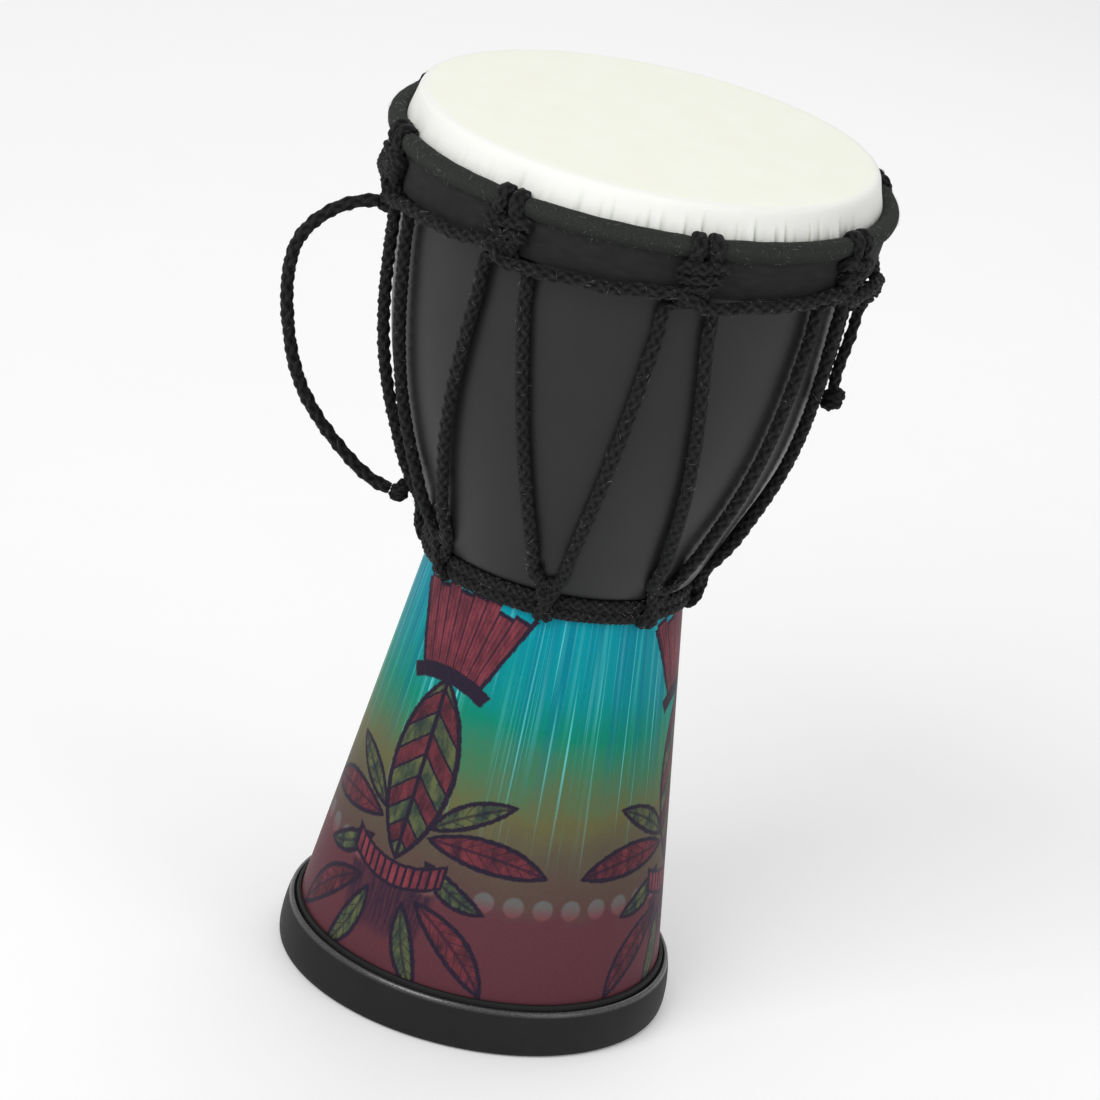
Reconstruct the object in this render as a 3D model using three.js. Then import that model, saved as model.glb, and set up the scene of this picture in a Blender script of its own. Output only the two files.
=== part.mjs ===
// A small rope-tuned goblet drum (djembe): a bowl and a flared stem joined at the waist, a
// synthetic head held by hoops, and one tuning rope laced between the crown and the waist.
// Millimetres, +Z up. The origin is on the floor, on the drum's axis.

import * as THREE from 'three';

// ---------------------------------------------------------------- driving dimensions

const HEIGHT = 342;             // floor to playing surface
const WALL = 3.8;               // bowl wall
const STEM_WALL = 3.5;
const GAP = 0.3;                // clearance between pieces that touch
const SEGMENTS = 40;            // facets round every turned piece

const STEM_FOOT_RADIUS = 70.4;  // printed face at the top of the foot ring
const STEM_FOOT_Z = 16;
const STEM_TOP_RADIUS = 48.6;   // printed face under the waist rope
const STEM_TOP_Z = 167;
const STEM_BASE_Z = 3;          // lower edge of the stem, inside the foot ring
const SLEEVE_THICKNESS = 0.6;

const NECK_RADIUS = 46.8;       // groove under the bowl that the waist ropes sit in
const NECK_BASE_Z = 168.3;
const SPIGOT_RADIUS = 44.9;     // the stem's spigot inside the bowl's neck
const SPIGOT_TOP_Z = 175.4;

const HEAD_RADIUS = 84.9;       // playing surface, at its rounded edge
const SKIRT_RADIUS = 86.6;      // head skirt where the crown hoop presses on it
const HEAD_THICKNESS = 1.1;

const CROWN_RADIUS = 90.6;      // centre of the padded crown hoop
const CROWN_Z = 328.2;
const CROWN_PAD_RADIUS = 3.5;
const CROWN_ROD_RADIUS = 2.1;

const BAND_TOP_RADIUS = 91.2;
const BAND_TOP_Z = 324.2;
const BAND_FOOT_RADIUS = 89.6;
const BAND_FOOT_Z = 309.5;
const BAND_THICKNESS = 1;

const FLESH_HOOP_RADIUS = 88;   // the hoop inside the head's rolled flange
const FLESH_HOOP_Z = 319.4;

const ROPE_RADIUS = 2.5;        // tuning rope
const CRADLE_ROPE_RADIUS = 2.3;
const HANDLE_ROPE_RADIUS = 2.6;
const TAIL_ROPE_RADIUS = 2.3;

const WAIST_ROPE_RADIUS = 50.2; // centre line of the two rope courses at the waist
const WAIST_LOWER_Z = 169.3;
const WAIST_UPPER_Z = 173.7;
const WAIST_HOOP_FOOT_Z = 168.6;
const WAIST_HOOP_TOP_Z = 175.2;
const WAIST_HOOP_THICKNESS = 1.2;

const CRADLE_RADIUS = 92.4;     // the cradle rope's centre line, under the band
const CRADLE_Z = 306.9;         // its lowest height, just past a hitch
const CRADLE_CLIMB = 3.9;       // how far it climbs to the next hitch
const SCALLOP_RISE = 1.4;       // how late in a scallop it climbs: 1 is evenly
const KNOT_SCALLOP = 3;         // the hitch before the scallop that the cradle knot hangs from
const KNOT_SCALLOP_RISE = 5;

const LACING_TOP_Z = 304.6;     // the tuning rope's spans, under the crown and over the waist
const LACING_FOOT_Z = 182.2;
const LACING_TOP_HALF = 5;      // degrees from a crown hitch to the spans at its two sides
const LACING_FOOT_HALF = 4.2;
const SPLICE_HITCH = 6;         // the tuning rope's ends meet under this one, at the back

const CROWN_HITCH_WIDTHS = [16, 8.5]; // over the hoop and at its foot
const WAIST_HITCH_WIDTH = 8.5;

// The hitches are tied by hand, so their spacing round the drum wanders by a few degrees.
const CROWN_HITCHES = [-158.5, -117, -72.5, -30, 21, 64, 108.5, 153];
const WAIST_HITCHES = [-142, -92, -45, -6, 41, 86, 130, 176];
const CRADLE_KNOT = -6;         // where the cradle rope's ends are tied together

// The bowl's outside above its ledge, radius and height
const BOWL_OUTSIDE = [
  [51.7, 177.8], [54.6, 184], [61.3, 200], [69.6, 220], [76, 240],
  [80, 260], [82.4, 280], [83.9, 300], [84.5, 320], [84.6, 334],
];

// The carry handle's route: radius, height and angle round the drum
const HANDLE_ROUTE = [
  [91.7, 297, -171], [98, 295.4, -171.5], [105, 291.8, -172], [110.7, 286.8, -172.5],
  [115.3, 280.6, -173], [118, 273.6, -173.5], [118.7, 266, -174], [118.3, 258, -174.5],
  [116.8, 248.5, -175], [114.3, 238.5, -175.7], [110.9, 227.8, -176.5], [105.6, 216.8, -177.3],
  [98.2, 206.6, -178.2], [89.4, 197.4, -179], [79.4, 189, -179.7], [72.4, 185, -180.2],
  [67.2, 183.4, -180.8],
];
const HANDLE_TOP = [87.7, 297.4, -171];
const HANDLE_BOTTOM = [63.2, 182.9, -181];

// The cradle rope's tail: radius and height, straight down the bowl from its knot. Its first and
// last two points lie inside the knots at its ends.
const TAIL_ROUTE = [
  [87.6, 294.2], [87.5, 292.4], [87.4, 290.6], [87.3, 288.3], [87.2, 286], [87, 283.8],
  [86.8, 281.5], [86.5, 279.2], [86.2, 276.9], [85.9, 274.6], [85.6, 272.3], [85.4, 270],
  [85.2, 267.8], [85.2, 265.5], [85.2, 263.4], [85.4, 260.6], [85.8, 257.8],
];
const CRADLE_KNOT_CENTRE = [88.2, 299.4];

// Each knot's barrel: radius and length
const HANDLE_TOP_KNOT = [3.2, 7];
const HANDLE_BOTTOM_KNOT = [3, 6.4];
const CRADLE_KNOT_SIZE = [3.8, 9.6];
const STOPPER_KNOT_SIZE = [4.6, 10];

// ---------------------------------------------------------------- materials

function material(color, roughness, metalness = 0) {
  return new THREE.MeshStandardMaterial({ color, roughness, metalness });
}

const charcoalShell = () => material(0x3f3f40, 0.55);
const printedFilm = () => material(0x1f7f86, 0.45);
const footRubber = () => material(0x2b2c2d, 0.6);
const headSkin = () => material(0xf6f8ee, 0.6);
const zincSteel = () => material(0xb4b7ba, 0.35, 1);
const blackFelt = () => material(0x2a2c2b, 0.95);
const blackCloth = () => material(0x1e1e1f, 0.9);
const blackRope = () => material(0x1b1b1c, 0.9);

// ---------------------------------------------------------------- geometry helpers

const drum = new THREE.Group();

function place(name, geometry, finish) {
  const mesh = new THREE.Mesh(geometry, finish);
  mesh.name = name;
  drum.add(mesh);
  return mesh;
}

function polar(radius, height, degrees) {
  const angle = THREE.MathUtils.degToRad(degrees);
  return new THREE.Vector3(radius * Math.cos(angle), radius * Math.sin(angle), height);
}

// Turns a closed outline of [radius, height] points about the drum's axis.
function turned(outline, segments = SEGMENTS) {
  const points = outline.map(([radius, height]) => new THREE.Vector2(radius, height));
  return new THREE.LatheGeometry(points, segments).rotateX(Math.PI / 2);
}

function closed(outline) {
  return [...outline, outline[0]];
}

// Points round an ellipse, from one angle to another, in degrees.
function arc(radius, height, halfWidth, halfHeight, from, to, steps) {
  const points = [];
  for (let i = 0; i <= steps; i += 1) {
    const angle = THREE.MathUtils.degToRad(from + ((to - from) * i) / steps);
    points.push([radius + halfWidth * Math.cos(angle), height + halfHeight * Math.sin(angle)]);
  }
  return points;
}

function hoop(radius, height, halfWidth, halfHeight, sides) {
  return turned(closed(arc(radius, height, halfWidth, halfHeight, 0, 360, sides).slice(0, -1)));
}

// A rope of round section swept along a smooth curve through its points.
function rope(points, radius, steps) {
  const section = new THREE.Shape();
  const sides = 8;
  for (let i = 0; i < sides; i += 1) {
    const angle = (2 * Math.PI * i) / sides;
    const draw = i === 0 ? 'moveTo' : 'lineTo';
    section[draw](radius * Math.cos(angle), radius * Math.sin(angle));
  }
  section.closePath();
  const extrudePath = new THREE.CatmullRomCurve3(points, false, 'centripetal');
  return new THREE.ExtrudeGeometry(section, { steps, extrudePath, bevelEnabled: false });
}

// A saddle: an outline of [radius, height] points given a width, narrower towards its foot.
function saddle(outline, topWidth, footWidth) {
  const shape = new THREE.Shape(outline.map(([radius, height]) => new THREE.Vector2(radius, height)));
  const geometry = new THREE.ExtrudeGeometry(shape, { depth: 1, bevelEnabled: false });
  geometry.translate(0, 0, -0.5);
  geometry.computeBoundingBox();
  const { min, max } = geometry.boundingBox;
  const corner = geometry.getAttribute('position');
  for (let i = 0; i < corner.count; i += 1) {
    const share = (corner.getY(i) - min.y) / (max.y - min.y);
    corner.setZ(i, corner.getZ(i) * THREE.MathUtils.lerp(footWidth, topWidth, share));
  }
  return geometry.rotateX(Math.PI / 2);
}

// A small knot: a barrel turned about its own long axis.
function knot(radius, length) {
  const half = length / 2;
  const outline = [
    [0, -half], [radius * 0.6, -half], [radius * 0.92, -half * 0.55], [radius, 0],
    [radius * 0.92, half * 0.55], [radius * 0.6, half], [0, half],
  ];
  return turned(outline, 12);
}

// ---------------------------------------------------------------- the bowl and its surface

function stemRadius(z) {
  const slope = (STEM_FOOT_RADIUS - STEM_TOP_RADIUS) / (STEM_TOP_Z - STEM_FOOT_Z);
  return STEM_FOOT_RADIUS - slope * (z - STEM_FOOT_Z);
}

const bowlCurve = new THREE.SplineCurve(
  BOWL_OUTSIDE.map(([radius, height]) => new THREE.Vector2(radius, height)),
);

// The bowl's radius at a height, and how far it leans out there.
function bowlAt(z) {
  let low = 0;
  let high = 1;
  for (let i = 0; i < 40; i += 1) {
    const middle = (low + high) / 2;
    if (bowlCurve.getPoint(middle).y < z) low = middle;
    else high = middle;
  }
  const point = bowlCurve.getPoint(low);
  const tangent = bowlCurve.getTangent(low);
  return { radius: point.x, normal: new THREE.Vector2(tangent.y, -tangent.x) };
}

// The point at a height and angle, standing off the bowl by a distance.
function onBowl(z, degrees, distance) {
  const { radius, normal } = bowlAt(z);
  return polar(radius + distance * normal.x, z + distance * normal.y, degrees);
}

function bowlShell() {
  const outside = bowlCurve.getPoints(12).map((point) => [point.x, point.y]);
  const inside = outside.map(([radius, height]) => {
    const { normal } = bowlAt(height);
    return [radius - WALL * normal.x, height - WALL * normal.y];
  });
  const outline = [
    [NECK_RADIUS, NECK_BASE_Z],
    [NECK_RADIUS, 175.6],
    [49.6, 176.4],
    ...outside,
    [84.1, 338.3],
    [82.9, 340.3],
    [81.4, 340.1],
    [80.8, 338],
    ...inside.reverse().slice(0, -2),
    [46.4, 182],
    [43.4, 177],
    [43.4, SPIGOT_TOP_Z + GAP],
    [SPIGOT_RADIUS + GAP, SPIGOT_TOP_Z + GAP],
    [SPIGOT_RADIUS + GAP, NECK_BASE_Z],
  ];
  return turned(closed(outline));
}

// ---------------------------------------------------------------- the stem

function stemShell() {
  const skin = SLEEVE_THICKNESS + GAP;
  const topZ = NECK_BASE_Z - GAP;
  const outline = [
    [stemRadius(STEM_BASE_Z) - skin, STEM_BASE_Z],
    [stemRadius(topZ) - skin, topZ],
    [SPIGOT_RADIUS, topZ],
    [SPIGOT_RADIUS, SPIGOT_TOP_Z],
    [43, SPIGOT_TOP_Z],
    [43, 166],
    [stemRadius(158) - skin - STEM_WALL, 158],
    [stemRadius(STEM_BASE_Z) - skin - STEM_WALL, STEM_BASE_Z],
  ];
  return turned(closed(outline));
}

function graphicSleeve() {
  const footZ = STEM_FOOT_Z + 0.2;
  const topZ = STEM_TOP_Z + 0.3;
  const outline = [
    [stemRadius(footZ), footZ],
    [stemRadius(topZ), topZ],
    [stemRadius(topZ) - SLEEVE_THICKNESS, topZ],
    [stemRadius(footZ) - SLEEVE_THICKNESS, footZ],
  ];
  return turned(closed(outline));
}

// A rubber channel pushed over the stem's lower edge, with a bead against the sleeve.
function footRing() {
  const stemOutside = (z) => stemRadius(z) - SLEEVE_THICKNESS;
  const stemInside = (z) => stemRadius(z) - SLEEVE_THICKNESS - 2 * GAP - STEM_WALL;
  const channelZ = STEM_BASE_Z - GAP;
  const outline = [
    [74.2, 0],
    [75.5, 1.6],
    [75.7, 4.2],
    [75.1, 9],
    [73.8, 13.6],
    [72.5, 17],
    [71.6, 18.1],
    [70.8, 17.4],
    [70.8, 15.8],
    [stemOutside(15.4), 15.4],
    [stemOutside(channelZ), channelZ],
    [stemInside(channelZ), channelZ],
    [stemInside(13), 13],
    [stemInside(13) - 2, 13],
    [65.2, 1],
    [66, 0],
  ];
  return turned(closed(outline));
}

// ---------------------------------------------------------------- the head and its hoops

// The head: a disc with a rounded edge, a skirt, and a flange under the flesh hoop.
function drumHead() {
  const under = HEIGHT - HEAD_THICKNESS;
  const flangeZ = 316.6;
  const outline = [
    [0, under],
    [HEAD_RADIUS - 1.5, under],
    [SKIRT_RADIUS - HEAD_THICKNESS - 0.6, 336],
    [SKIRT_RADIUS - HEAD_THICKNESS, 330],
    [SKIRT_RADIUS - HEAD_THICKNESS, flangeZ],
    [SKIRT_RADIUS + 2.4, flangeZ],
    [SKIRT_RADIUS + 2.4, flangeZ + 0.9],
    [SKIRT_RADIUS, flangeZ + 0.9],
    [SKIRT_RADIUS, 329],
    [SKIRT_RADIUS + 0.4, 332.4],
    [HEAD_RADIUS + 0.4, HEIGHT - 2],
    [HEAD_RADIUS - 0.2, HEIGHT - 0.6],
    [HEAD_RADIUS - 1.3, HEIGHT],
    [0, HEIGHT],
  ];
  return turned(outline);
}

function fleshHoop() {
  return hoop(FLESH_HOOP_RADIUS, FLESH_HOOP_Z, 1.1, 1.4, 6);
}

function crownHoop() {
  return hoop(CROWN_RADIUS, CROWN_Z, CROWN_ROD_RADIUS, CROWN_ROD_RADIUS, 8);
}

// The padded cover on the crown hoop, open along a seam that faces down and inwards.
function crownHoopCover() {
  const inner = CROWN_ROD_RADIUS + GAP;
  const outside = arc(CROWN_RADIUS, CROWN_Z, CROWN_PAD_RADIUS, CROWN_PAD_RADIUS, -120, 215, 12);
  const inside = arc(CROWN_RADIUS, CROWN_Z, inner, inner, 215, -120, 8);
  return turned(closed([...outside, ...inside]));
}

function collarBand() {
  const outline = [
    [BAND_FOOT_RADIUS, BAND_FOOT_Z],
    [BAND_TOP_RADIUS, BAND_TOP_Z],
    [BAND_TOP_RADIUS - BAND_THICKNESS, BAND_TOP_Z],
    [BAND_FOOT_RADIUS - BAND_THICKNESS, BAND_FOOT_Z],
  ];
  return turned(closed(outline));
}

// ---------------------------------------------------------------- crown and waist ropes

// How far the cradle rope has climbed at an angle: it rises to each crown hitch and drops on
// the hitch's far side.
function cradleClimb(degrees) {
  const after = CROWN_HITCHES.map((hitch) => (degrees - hitch + 720) % 360);
  const here = after.indexOf(Math.min(...after));
  const next = CROWN_HITCHES[(here + 1) % CROWN_HITCHES.length];
  const share = after[here] / ((next - CROWN_HITCHES[here] + 360) % 360);
  if (share < 0.06) return 1 - THREE.MathUtils.smoothstep(share, -0.08, 0.06);
  if (share > 0.92) return 1 - THREE.MathUtils.smoothstep(share - 1, -0.08, 0.06);
  return ((share - 0.06) / 0.86) ** (here === KNOT_SCALLOP ? KNOT_SCALLOP_RISE : SCALLOP_RISE);
}

// The cradle rope hangs in shallow scallops between the crown hitches.
function cradleRope() {
  const points = [];
  const count = 96;
  const halfGap = 0.4;
  for (let i = 0; i <= count; i += 1) {
    const degrees = CRADLE_KNOT + halfGap + ((360 - 2 * halfGap) * i) / count;
    points.push(polar(CRADLE_RADIUS, CRADLE_Z + CRADLE_CLIMB * cradleClimb(degrees), degrees));
  }
  return rope(points, CRADLE_ROPE_RADIUS, 96);
}

// A crown hitch goes over the padded hoop and down the band to the cradle rope.
function crownHitch() {
  const over = CROWN_PAD_RADIUS + GAP;
  const outline = [
    ...arc(CROWN_RADIUS, CROWN_Z, over, over, 110, -30, 5),
    [94.1, 323],
    [93.4, 314.6],
    [96.2, 314.6],
    [97, 320],
    ...arc(CROWN_RADIUS, CROWN_Z, 6.6, 6.4, -12, 110, 5),
  ];
  return saddle(outline.reverse(), ...CROWN_HITCH_WIDTHS);
}

function waistHoop() {
  const inside = NECK_RADIUS + GAP;
  const outside = inside + WAIST_HOOP_THICKNESS;
  const outline = [
    [inside, WAIST_HOOP_FOOT_Z],
    [outside, WAIST_HOOP_FOOT_Z],
    [outside, WAIST_HOOP_TOP_Z],
    [inside, WAIST_HOOP_TOP_Z],
  ];
  return turned(closed(outline));
}

function waistCourse(z) {
  return hoop(WAIST_ROPE_RADIUS, z, 1.55, 2.05, 8);
}

// A waist hitch clasps both rope courses from outside and hooks under the lower one.
function waistHitch() {
  const outline = [
    [52.2, 176.8],
    [52.2, 167.3],
    [49.6, 166.8],
    [49.8, 165.3],
    [54, 165.6],
    [55.3, 167.6],
    [55.3, 175.6],
    [54.4, 177],
  ];
  return saddle(outline, WAIST_HITCH_WIDTH, WAIST_HITCH_WIDTH);
}

// ---------------------------------------------------------------- the tuning rope

// A taut rope on the bowl takes the shortest way, so it turns most where the bowl is narrow.
function lacingSpan(fromDegrees, toDegrees, fromZ, toZ) {
  const steps = 9;
  const heights = [];
  const turns = [0];
  for (let i = 0; i <= steps; i += 1) heights.push(fromZ + ((toZ - fromZ) * i) / steps);
  for (let i = 1; i <= steps; i += 1) {
    const radius = bowlAt((heights[i] + heights[i - 1]) / 2).radius;
    turns.push(turns[i - 1] + 1 / (radius * radius));
  }
  return heights.map((z, i) => {
    const share = turns[i] / turns[steps];
    return onBowl(z, fromDegrees + (toDegrees - fromDegrees) * share, ROPE_RADIUS + 2 * GAP);
  });
}

// One rope, down and up between the crown and the waist, all the way round. Its ends meet
// under the crown hitch at the back.
function tuningRope() {
  const count = CROWN_HITCHES.length;
  const end = (side) => onBowl(LACING_TOP_Z + 1.2, CROWN_HITCHES[SPLICE_HITCH] + side, ROPE_RADIUS + 2 * GAP);
  const points = [end(0.4)];
  for (let i = 0; i < count; i += 1) {
    const here = (SPLICE_HITCH + i) % count;
    const next = (here + 1) % count;
    const turn = 360 * Math.floor((SPLICE_HITCH + i) / count);
    const nextTurn = 360 * Math.floor((SPLICE_HITCH + i + 1) / count);
    const crown = CROWN_HITCHES[here] + turn + LACING_TOP_HALF;
    const waist = WAIST_HITCHES[here] + turn;
    const nextCrown = CROWN_HITCHES[next] + nextTurn - LACING_TOP_HALF;
    points.push(...lacingSpan(crown, waist - LACING_FOOT_HALF, LACING_TOP_Z, LACING_FOOT_Z));
    points.push(...lacingSpan(waist + LACING_FOOT_HALF, nextCrown, LACING_FOOT_Z, LACING_TOP_Z));
  }
  points.push(end(-0.4));
  return rope(points, ROPE_RADIUS, 208);
}

// ---------------------------------------------------------------- assembly

place('bowl_shell', bowlShell(), charcoalShell());
place('stem_shell', stemShell(), charcoalShell());
place('graphic_sleeve', graphicSleeve(), printedFilm());
place('foot_ring', footRing(), footRubber());
place('drum_head', drumHead(), headSkin());
place('flesh_hoop', fleshHoop(), zincSteel());
place('crown_hoop', crownHoop(), zincSteel());
place('crown_hoop_cover', crownHoopCover(), blackFelt());
place('collar_band', collarBand(), blackCloth());
place('cradle_rope', cradleRope(), blackRope());
place('waist_hoop', waistHoop(), zincSteel());
place('waist_rope_lower', waistCourse(WAIST_LOWER_Z), blackRope());
place('waist_rope_upper', waistCourse(WAIST_UPPER_Z), blackRope());
place('tuning_rope', tuningRope(), blackRope());

CROWN_HITCHES.forEach((degrees, i) => {
  const hitch = place(`crown_hitch_${i + 1}`, crownHitch(), blackRope());
  hitch.rotation.z = THREE.MathUtils.degToRad(degrees);
});

WAIST_HITCHES.forEach((degrees, i) => {
  const hitch = place(`waist_hitch_${i + 1}`, waistHitch(), blackRope());
  hitch.rotation.z = THREE.MathUtils.degToRad(degrees);
});

// The handle and its two end knots, which lie along the line that it swings about
const handleTop = polar(...HANDLE_TOP);
const handleBottom = polar(...HANDLE_BOTTOM);
const swingAxis = new THREE.Vector3().subVectors(handleTop, handleBottom).normalize();
const alongSwing = new THREE.Quaternion().setFromUnitVectors(new THREE.Vector3(0, 0, 1), swingAxis);

const handleTopKnot = place('handle_top_knot', knot(...HANDLE_TOP_KNOT), blackRope());
handleTopKnot.position.copy(handleTop);
handleTopKnot.quaternion.copy(alongSwing);

const handleBottomKnot = place('handle_bottom_knot', knot(...HANDLE_BOTTOM_KNOT), blackRope());
handleBottomKnot.position.copy(handleBottom);
handleBottomKnot.quaternion.copy(alongSwing);

const handlePoints = HANDLE_ROUTE.map(([radius, z, degrees]) => polar(radius, z, degrees));
place('handle_rope', rope(handlePoints, HANDLE_ROPE_RADIUS, 26), blackRope());

// The cradle rope's knot and the tail that hangs from it, with its stopper knot
const cradleKnot = place('cradle_knot', knot(...CRADLE_KNOT_SIZE), blackRope());
cradleKnot.position.copy(polar(...CRADLE_KNOT_CENTRE, CRADLE_KNOT));

const tailPoints = TAIL_ROUTE.map(([radius, z]) => polar(radius, z, CRADLE_KNOT));
place('tail_rope', rope(tailPoints.slice(2, -2), TAIL_ROPE_RADIUS, 8), blackRope());

const stopperKnot = place('tail_stopper_knot', knot(...STOPPER_KNOT_SIZE), blackRope());
stopperKnot.position.copy(tailPoints.at(-1));

export default drum;
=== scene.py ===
"""A small rope-tuned djembe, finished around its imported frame: fine shells, a plaited tuning
rope with hand-tied hitches, a padded crown hoop, a pleated white head and a printed stem.

Lengths in the tables below are millimetres, as in the CAD source. Angles are degrees round the
drum, anticlockwise from +X. Meshes are made in millimetres and scaled to metres as they are built.
"""

import math

import bpy
import numpy as np
from mathutils import Matrix, Vector


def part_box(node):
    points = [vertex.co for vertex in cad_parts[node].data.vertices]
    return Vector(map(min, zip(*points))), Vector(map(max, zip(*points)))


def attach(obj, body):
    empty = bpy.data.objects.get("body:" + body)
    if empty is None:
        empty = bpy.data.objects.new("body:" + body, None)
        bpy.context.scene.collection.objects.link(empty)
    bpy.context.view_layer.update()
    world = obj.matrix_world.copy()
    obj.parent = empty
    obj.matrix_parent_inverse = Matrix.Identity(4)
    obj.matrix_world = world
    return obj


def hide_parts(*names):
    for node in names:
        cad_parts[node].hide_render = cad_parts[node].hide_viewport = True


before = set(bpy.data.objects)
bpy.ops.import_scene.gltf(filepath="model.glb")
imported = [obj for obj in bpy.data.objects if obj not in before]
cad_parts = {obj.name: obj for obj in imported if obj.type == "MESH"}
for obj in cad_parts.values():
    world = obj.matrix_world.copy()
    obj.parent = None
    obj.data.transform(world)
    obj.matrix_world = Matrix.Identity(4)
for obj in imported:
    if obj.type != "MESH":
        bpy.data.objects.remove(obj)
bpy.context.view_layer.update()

MM = 0.001
TAU = 2 * math.pi
HITCHES = 8


# ---- sizes, taken from the frame


def reach(node):
    """A turned node's outer radius, its foot and its top, in millimetres."""
    low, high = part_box(node)
    return high.x / MM, low.z / MM, high.z / MM


def azimuths(stem):
    """The angles round the drum of a set of hitches, in radians."""
    found = []
    for i in range(HITCHES):
        low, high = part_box(f"{stem}_{i + 1}")
        middle = (low + high) / 2
        found.append(math.atan2(middle.y, middle.x))
    return found


HEAD_RADIUS, _, HEIGHT = reach("drum_head")
HEAD_RADIUS -= 2.4  # the node's flange stands out from its skirt
BAND_RADIUS, BAND_FOOT, BAND_TOP = reach("collar_band")
ROLL_OUTSIDE, ROLL_FOOT, ROLL_TOP = reach("crown_hoop_cover")
ROLL_PAD = (ROLL_TOP - ROLL_FOOT) / 2
ROLL_RADIUS = ROLL_OUTSIDE - ROLL_PAD
ROLL_Z = (ROLL_TOP + ROLL_FOOT) / 2
SLEEVE_RADIUS, SLEEVE_FOOT, SLEEVE_TOP = reach("graphic_sleeve")
FOOT_TOP = reach("foot_ring")[2]
NECK_BASE = reach("bowl_shell")[1]
CROWN_AZ = azimuths("crown_hitch")
WAIST_AZ = azimuths("waist_hitch")
KNOT_AZ = math.radians(-6)  # where the cradle rope's ends are tied

STEM_SLOPE = 0.14437  # how fast the stem narrows with height
WALL = 3.8
BEAD_FOOT_RADIUS = 72.1  # the groove between the foot ring's collar and its bead
ROPE_RADIUS = 2.5
THIN_ROPE_RADIUS = 2.3
HANDLE_ROPE_RADIUS = 2.6
PLAIT_TURN = 23.0  # the length of rope in which a strand goes once round
HITCH_TURN = 19  # the same, squeezed in a hitch
LACING_OFF = ROPE_RADIUS + 0.6  # how far the tuning rope's middle stands off the bowl
WAIST_TURN_Z = 183.4  # where the tuning rope turns back up
CRADLE_RADIUS, CRADLE_Z = 92.2, 306.9
END_GAP = math.radians(0.4)  # how far a rope's end stops short of where its two ends meet

BOWL_OUTSIDE = [
    (51.7, 177.8), (54.6, 184), (61.3, 200), (69.6, 220), (76, 240),
    (80, 260), (82.4, 280), (83.9, 300), (84.5, 320), (84.6, 334),
]

# The carry handle's route: radius, height and angle round the drum
HANDLE_ROUTE = [
    (91.7, 297, -171), (98, 295.4, -171.5), (105, 291.8, -172), (110.7, 286.8, -172.5),
    (115.3, 280.6, -173), (118, 273.6, -173.5), (118.7, 266, -174), (118.3, 258, -174.5),
    (116.8, 248.5, -175), (114.3, 238.5, -175.7), (110.9, 227.8, -176.5), (105.6, 216.8, -177.3),
    (98.2, 206.6, -178.2), (89.4, 197.4, -179), (79.4, 189, -179.7), (72.4, 185, -180.2),
    (67.2, 183.4, -180.8),
]

# The cradle rope's tail: radius and height, straight down the bowl from its knot. Its first and
# last two points lie inside the knots at its ends.
TAIL_ROUTE = [
    (87.6, 294.2), (87.5, 292.4), (87.4, 290.6), (87.3, 288.3), (87.2, 286), (87, 283.8),
    (86.8, 281.5), (86.5, 279.2), (86.2, 276.9), (85.9, 274.6), (85.6, 272.3), (85.4, 270),
    (85.2, 267.8), (85.2, 265.5), (85.2, 263.4), (85.4, 260.6), (85.8, 257.8),
]


# ---- points and curves


def polar(radius, z, angle):
    """A point from its radius, height and angle in radians."""
    return np.array([radius * math.cos(angle), radius * math.sin(angle), z])


def smooth(points, step, closed=False):
    """Points about a step apart on a centripetal Catmull-Rom curve through these."""
    p = np.asarray(points, float)
    if closed:
        p = np.vstack([p[-1], p, p[0], p[1]])
    else:
        p = np.vstack([2 * p[0] - p[1], p, 2 * p[-1] - p[-2]])
    fine = []
    for a, b, c, d in zip(p[:-3], p[1:-2], p[2:-1], p[3:]):
        t1 = math.sqrt(np.linalg.norm(b - a))
        t2 = t1 + math.sqrt(np.linalg.norm(c - b))
        t3 = t2 + math.sqrt(np.linalg.norm(d - c))
        t = np.linspace(t1, t2, 12, endpoint=False)[:, None]
        ab = a + (b - a) * t / t1
        bc = b + (c - b) * (t - t1) / (t2 - t1)
        cd = c + (d - c) * (t - t2) / (t3 - t2)
        abc = ab + (bc - ab) * t / t2
        bcd = bc + (cd - bc) * (t - t1) / (t3 - t1)
        fine.append(abc + (bcd - abc) * (t - t1) / (t2 - t1))
    fine = np.vstack(fine + [p[-2:-1]])
    along = np.concatenate([[0], np.cumsum(np.linalg.norm(np.diff(fine, axis=0), axis=1))])
    count = max(4, round(along[-1] / step))
    at = np.linspace(0, along[-1], count + 1)
    line = np.stack([np.interp(at, along, fine[:, k]) for k in range(fine.shape[1])], axis=1)
    return line[:-1] if closed else line


bowl_line = smooth(BOWL_OUTSIDE, 0.5)
bowl_slope = np.gradient(bowl_line, axis=0)
bowl_slope /= np.linalg.norm(bowl_slope, axis=1)[:, None]


def on_bowl(z, angle, distance):
    """The point at a height and angle, standing off the bowl by a distance."""
    radius = np.interp(z, bowl_line[:, 1], bowl_line[:, 0])
    lean = [np.interp(z, bowl_line[:, 1], bowl_slope[:, k]) for k in (0, 1)]
    return polar(radius + distance * lean[1], z - distance * lean[0], angle)


# ---- meshes


def add_object(name, data):
    made = bpy.data.objects.new(name, data)
    bpy.context.scene.collection.objects.link(made)
    return made


def new_mesh(name, points, faces, finish, soft_angle=None):
    """A piece from points in millimetres and lists of each face's corners."""
    mesh = bpy.data.meshes.new(name)
    mesh.from_pydata((np.asarray(points) * MM).tolist(), [], faces)
    mesh.shade_smooth()
    if soft_angle:
        mesh.set_sharp_from_angle(angle=math.radians(soft_angle))
    mesh.materials.append(finish)
    return add_object(name, mesh)


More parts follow.
